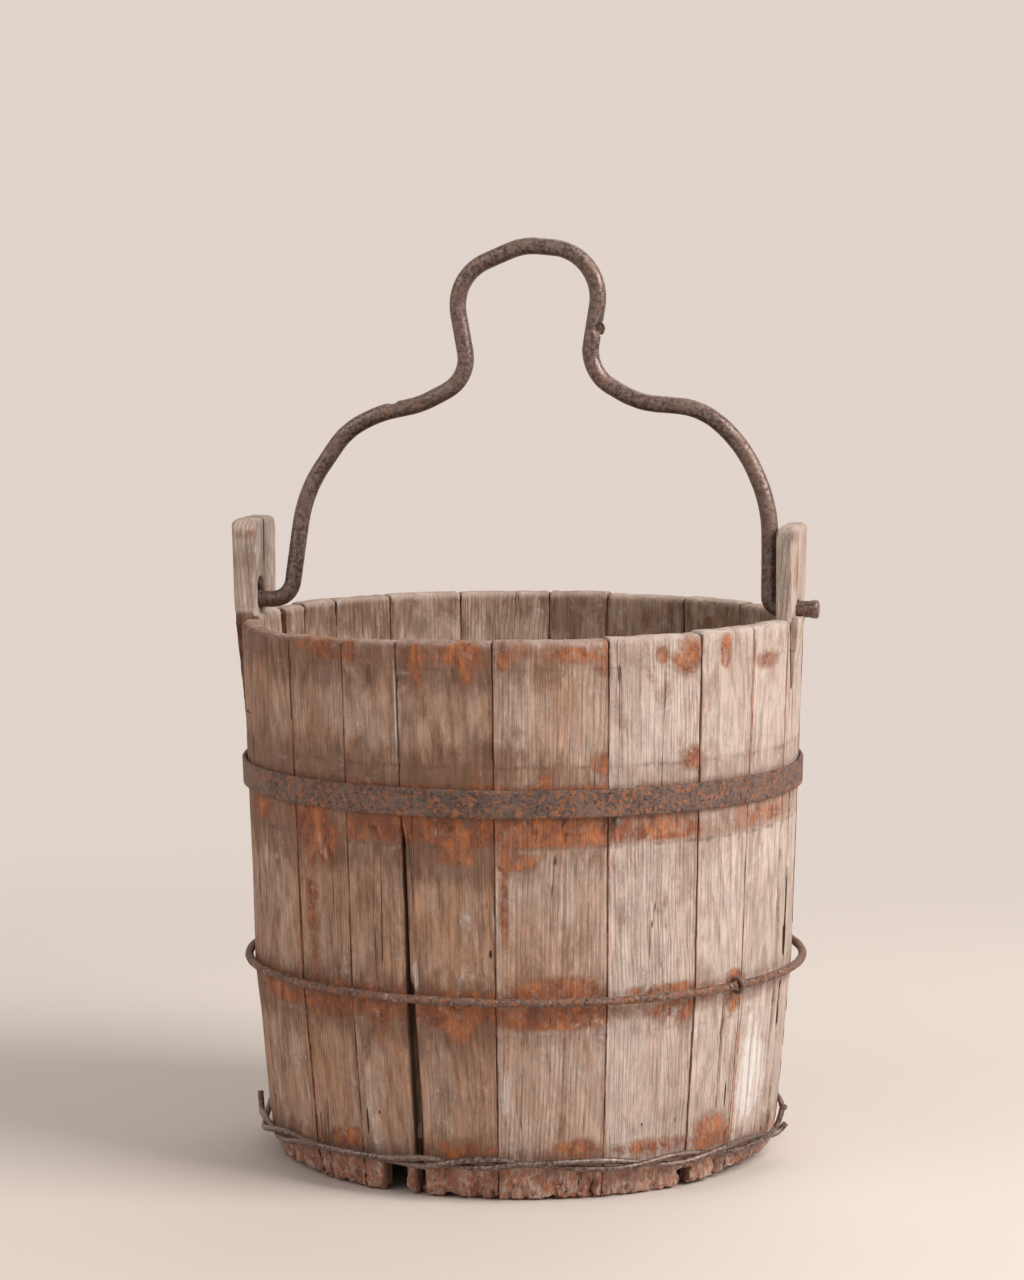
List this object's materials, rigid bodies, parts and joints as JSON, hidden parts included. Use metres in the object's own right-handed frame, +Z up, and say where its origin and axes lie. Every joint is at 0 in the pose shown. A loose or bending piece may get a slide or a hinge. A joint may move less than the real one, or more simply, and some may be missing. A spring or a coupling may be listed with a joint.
{
  "type": "wooden well bucket",
  "caption": "Coopered stave bucket with two tall ears, an iron band, wire hoops and a bent iron bail that swings.",
  "frame": {"origin": "on the floor, under the centre of the bucket's bottom", "axes": "+Z up; the two ears and the bail's pivot lie along X, with the ear that the bail sticks out of at +X; -Y is the front"},
  "size_m": [0.3237, 0.3103, 0.4962],
  "materials": {
    "stave_wood": "bare weathered, grey-tan with rust stains",
    "ear_wood": "bare weathered, knotty",
    "bottom_wood": "bare, dark and damp-stained",
    "dowel_wood": "bare",
    "band_iron": "rusted flat strip",
    "rivet_iron": "rusted",
    "nail_iron": "rusted",
    "fence_wire": "rusted, dull",
    "bail_iron": "dark rusted round rod"
  },
  "bodies": {
    "bucket": {"stave_01": "stave_wood", "stave_02": "stave_wood", "stave_03": "stave_wood", "stave_04": "stave_wood", "stave_05": "stave_wood", "stave_06": "stave_wood", "stave_07": "stave_wood", "stave_08": "stave_wood", "stave_09": "stave_wood", "stave_10": "stave_wood", "stave_11": "stave_wood", "stave_12": "stave_wood", "stave_13": "stave_wood", "stave_14": "stave_wood", "stave_15": "stave_wood", "stave_16": "stave_wood", "stave_17": "stave_wood", "stave_18": "stave_wood", "stave_19": "stave_wood", "stave_20": "stave_wood", "ear_stave_right": "ear_wood", "ear_stave_left": "ear_wood", "bottom_board_1": "bottom_wood", "bottom_board_2": "bottom_wood", "bottom_board_3": "bottom_wood", "bottom_dowels": "dowel_wood", "iron_band": "band_iron", "band_rivets": "rivet_iron", "band_nail": "nail_iron", "mid_wire": "fence_wire", "mid_wire_tie": "fence_wire", "low_wire_long": "fence_wire", "low_wire_short": "fence_wire"},
    "handle": {"bail": "bail_iron"}
  },
  "joints": [
    {"name": "bail_swing", "type": "hinge", "parent": "bucket", "child": "handle", "pos_m": [0, -0.009, 0.2985], "axis": [1, 0, 0], "range_deg": [-90, 85]}
  ]
}
